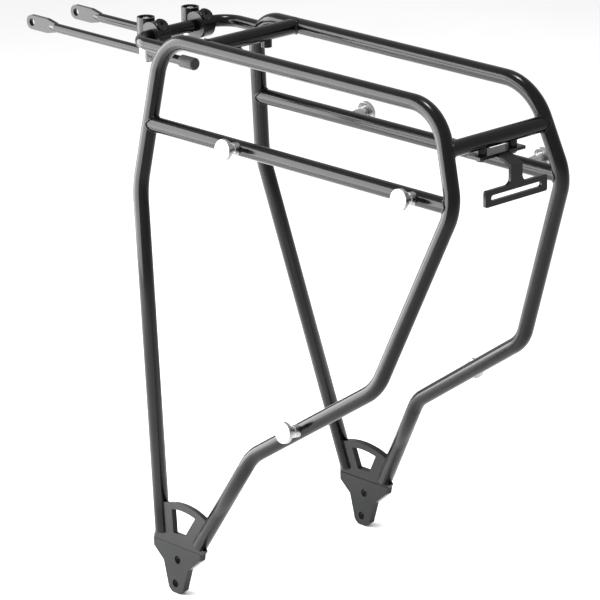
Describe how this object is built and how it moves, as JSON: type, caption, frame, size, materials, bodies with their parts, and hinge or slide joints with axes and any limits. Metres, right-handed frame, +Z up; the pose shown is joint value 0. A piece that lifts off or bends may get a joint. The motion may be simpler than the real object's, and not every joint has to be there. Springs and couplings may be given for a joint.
{
  "type": "bicycle rear rack",
  "caption": "Tubular steel rear rack for a bicycle: bent side frames, pannier rails with studs, bolt-on feet, adjustable front stays and a lamp bracket.",
  "frame": {"origin": "midway between the two lower foot holes", "axes": "+X to the bicycle's right, +Y to its front, +Z up"},
  "size_m": [0.1746, 0.4205, 0.35],
  "materials": {
    "black_tube": "satin black powder coat",
    "black_plate": "satin black powder coat on plate",
    "black_cast": "satin black coat on cast clamps",
    "black_bolt": "black oxide",
    "stud_steel": "turned, bright",
    "eye_steel": "zinc plated",
    "rubber": "matt black"
  },
  "bodies": {
    "frame": {"side_tube_left": "black_tube", "side_tube_right": "black_tube", "pannier_rail_left": "black_tube", "pannier_rail_right": "black_tube", "front_crossbar": "black_tube", "rear_crossbar": "black_tube", "front_loop": "black_tube", "foot_left": "black_plate", "foot_right": "black_plate", "pannier_studs_left": "stud_steel", "pannier_studs_right": "stud_steel", "front_bosses": "black_tube", "rear_bosses": "black_tube", "lamp_bracket": "black_plate", "lamp_bolts": "black_bolt"},
    "clamp_body_left": {"clamp_left": "black_cast", "set_screw_left": "black_bolt"},
    "eye_body_left": {"eye_bolt_left": "eye_steel", "eye_nut_left": "eye_steel"},
    "stay_body_left": {"stay_left": "black_tube", "stay_cap_left": "rubber"},
    "clamp_body_right": {"clamp_right": "black_cast", "set_screw_right": "black_bolt"},
    "eye_body_right": {"eye_bolt_right": "eye_steel", "eye_nut_right": "eye_steel"},
    "stay_body_right": {"stay_right": "black_tube", "stay_cap_right": "rubber"}
  },
  "joints": [
    {"name": "clamp_tilt_left", "type": "hinge", "parent": "frame", "child": "clamp_body_left", "pos_m": [-0.019, 0.0823, 0.3315], "axis": [1, 0, 0], "range_deg": [-5, 25]},
    {"name": "eye_swivel_left", "type": "hinge", "parent": "clamp_body_left", "child": "eye_body_left", "pos_m": [-0.019, 0.092, 0.3185], "axis": [0, 0, 1], "range_deg": [-8, 8]},
    {"name": "stay_slide_left", "type": "slide", "parent": "eye_body_left", "child": "stay_body_left", "axis": [0, 1, 0], "range_m": [-0.04, 0.025]},
    {"name": "clamp_tilt_right", "type": "hinge", "parent": "frame", "child": "clamp_body_right", "pos_m": [0.019, 0.0823, 0.3315], "axis": [1, 0, 0], "range_deg": [-5, 25]},
    {"name": "eye_swivel_right", "type": "hinge", "parent": "clamp_body_right", "child": "eye_body_right", "pos_m": [0.019, 0.092, 0.3185], "axis": [0, 0, 1], "range_deg": [-8, 8]},
    {"name": "stay_slide_right", "type": "slide", "parent": "eye_body_right", "child": "stay_body_right", "axis": [0, 1, 0], "range_m": [-0.04, 0.025]}
  ]
}
